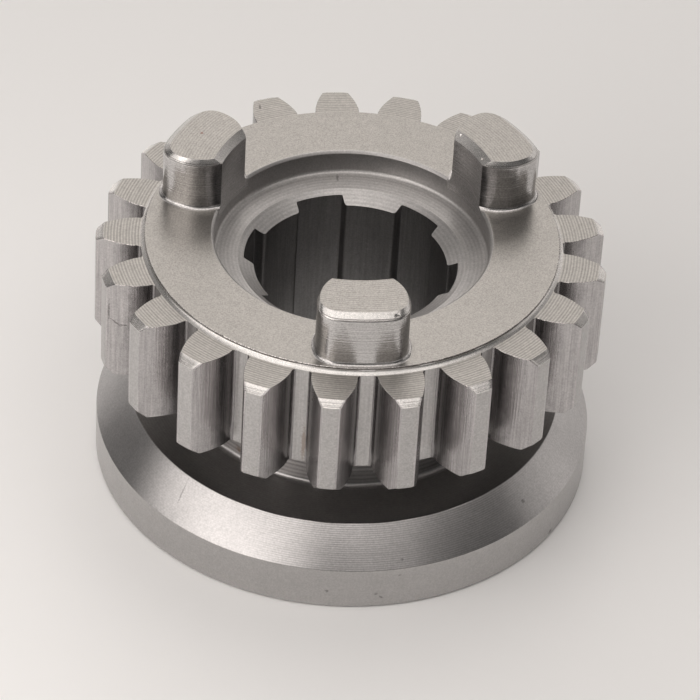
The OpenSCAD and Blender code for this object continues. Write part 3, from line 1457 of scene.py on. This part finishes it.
@dataclass
class PhotographView:
    """Camera at the photograph's viewing angle, in the gear's frame."""

    turn_deg: float = -5.0
    height_deg: float = 40.4072
    roll_deg: float = 3.43328
    distance_mm: float = 454.595
    aim_mm: float = 3.9
    pan_rad: float = -0.00104769
    tilt_rad: float = 0.01483088
    lens_mm: float = 220.3203
    sensor_mm: float = 36.0
    near_m: float = 0.01
    far_m: float = 10.0

    def build(self) -> None:
        """Creates the camera and makes it the scene's own."""
        data = bpy.data.cameras.new("photograph_view")
        data.sensor_width = self.sensor_mm
        data.lens = self.lens_mm
        data.clip_start, data.clip_end = self.near_m, self.far_m
        lift = math.radians(self.height_deg)
        back = Vector((0, -math.cos(lift), math.sin(lift)))
        right = Vector((1, 0, 0))
        # Rows of this matrix are the camera's own axes, which pan, tilt and roll then turn.
        axes = Matrix((right, back.cross(right), back))
        roll_rad = math.radians(self.roll_deg)
        for angle, axis in ((self.pan_rad, "Y"), (self.tilt_rad, "X"), (roll_rad, "Z")):
            axes = Matrix.Rotation(-angle, 3, axis) @ axes
        place = Vector((0, 0, self.aim_mm)) + back * self.distance_mm
        turn = Matrix.Rotation(math.radians(self.turn_deg), 4, "Z")
        camera = placed("photograph_view", data)
        camera.matrix_world = turn @ Matrix.Translation(place * MM) @ axes.transposed().to_4x4()
        bpy.context.scene.camera = camera


@dataclass(frozen=True)
class SoftBox:
    """One round diffuser that lights the gear from a distance."""

    azimuth_deg: float
    height_deg: float
    watts: float
    spread_deg: float = 22.0
    reach_m: float = 1.0
    level: bool = False
    colour: str = "#FFF9F4"

    def build(self, name: str) -> bpy.types.Object:
        """Hangs the diffuser, aimed at the gear, or level above the floor.

        Args:
            name: Name of the light.

        Returns:
            The light.
        """
        data = bpy.data.lights.new(name, "AREA")
        data.shape = "DISK"
        data.size = 2 * self.reach_m * math.tan(math.radians(self.spread_deg / 2))
        data.energy = self.watts
        data.color = linear(self.colour)[:3]
        light = placed(name, data)
        a, h = math.radians(self.azimuth_deg), math.radians(self.height_deg)
        away = Vector((math.cos(a) * math.cos(h), math.sin(a) * math.cos(h), math.sin(h)))
        light.location = away * self.reach_m
        if not self.level:
            light.rotation_euler = away.to_track_quat("Z", "Y").to_euler()
        return light


@dataclass(frozen=True)
class PanelRow:
    """Diffusers at one height of the light tent, spread evenly around the gear."""

    height_deg: float
    first_deg: float
    watts: tuple[float, ...]

    def boxes(self) -> Iterable[SoftBox]:
        """Returns the diffusers that are switched on."""
        for i, power in enumerate(self.watts):
            if power > 0:
                azimuth = self.first_deg + 360 * i / len(self.watts)
                yield SoftBox(azimuth, self.height_deg, power)


# Watts around the tent, one row for each height in degrees, as fitted to the photograph.
WATTS_8 = (0, 0, 0.03, 0, 0.16, 0.27, 0.27, 0.33, 0.55, 0.46, 0.16, 0.04, 0, 0.36, 0.71, 0.02)
WATTS_24 = (0, 0, 0, 0.01, 0.19, 0.12, 0.33, 0.09, 0.36, 0.27, 0.1, 0, 0.19, 0.32, 0.49, 0.07)
WATTS_40 = (0, 0.02, 0, 0.03, 0.03, 0.09, 0, 0.39, 0.07, 0.02, 0, 0.27, 0.25, 0.25)
WATTS_56 = (0.39, 0.32, 0.3, 0.11, 0.13, 0.46, 0.3, 0, 0.03, 0.24, 0.42)
WATTS_72 = (0.35, 0.3, 0.23, 0.59, 0.3, 0.29)
WATTS_88 = (0.34,)


@dataclass
class Studio:
    """Plain pale floor inside a tent of soft light."""

    floor_colour: str = "#F5F5F5"
    floor_roughness: float = 0.9
    floor_half: float = 2.0
    ambient: float = 0.0445
    near_spread_deg: float = 30.0
    near_reach_m: float = 0.16
    # Azimuth, height and watts of the small level diffusers close above the gear.
    near: tuple[Point3, ...] = (
        (165, 50, 0.0063), (185, 50, 0.0099), (205, 50, 0.0124), (225, 50, 0.0075),
        (185, 30, 0.0149), (205, 30, 0.0228), (225, 30, 0.0217), (245, 30, 0.0086),
        (285, 30, 0.0077), (305, 30, 0.0025), (325, 30, 0.0006),
    )
    rows: tuple[PanelRow, ...] = (
        PanelRow(8, 265, WATTS_8),
        PanelRow(24, 276.25, WATTS_24),
        PanelRow(40, 265, WATTS_40),
        PanelRow(56, 273, WATTS_56),
        PanelRow(72, 265, WATTS_72),
        PanelRow(88, 265, WATTS_88),
    )

    def build(self) -> None:
        """Builds the floor, the ambient light and the soft boxes."""
        self._floor()
        world = bpy.data.worlds.new("studio")
        world.use_nodes = True
        sky = world.node_tree.nodes["Background"]
        sky.inputs["Color"].default_value = (1, 1, 1, 1)
        sky.inputs["Strength"].default_value = self.ambient
        bpy.context.scene.world = world
        for row in self.rows:
            for i, box in enumerate(row.boxes()):
                box.build(f"soft_box_{row.height_deg:g}_{i}")
        for i, (azimuth, height, watts) in enumerate(self.near):
            box = SoftBox(
                azimuth, height, watts, self.near_spread_deg, self.near_reach_m, level=True
            )
            box.build(f"near_box_{i}")
        bpy.context.scene.view_settings.view_transform = "Standard"

    def _floor(self) -> None:
        """Builds the floor, matt and pale so that it shows only the gear's soft shadow."""
        shell = Shell()
        s = self.floor_half
        corners = shell.ring([(-s, -s, 0), (s, -s, 0), (s, s, 0), (-s, s, 0)])
        shell.face(corners, Finish.BASE)
        floor = placed("floor", shell.to_mesh("floor"))
        material = bpy.data.materials.new("matt_paper_floor")
        material.use_nodes = True
        shader = material.node_tree.nodes["Principled BSDF"]
        shader.inputs["Base Color"].default_value = linear(self.floor_colour)
        shader.inputs["Roughness"].default_value = self.floor_roughness
        floor.data.materials.append(material)


def main() -> None:
    """Builds the gear, the studio and the camera."""
    logging.basicConfig(level=logging.INFO, format="%(name)s: %(message)s")
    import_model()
    gear = SlidingGear(ToothedRing(), SplinedBore(), TurnedBody(), DriveDog()).build()
    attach(gear, "root")
    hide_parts("sliding_gear")
    Studio().build()
    LOG.info("studio: floor and %d lights", len(bpy.data.lights))
    PhotographView().build()
    LOG.info("camera: %s", bpy.context.scene.camera.name)


if __name__ == "__main__":
    main()
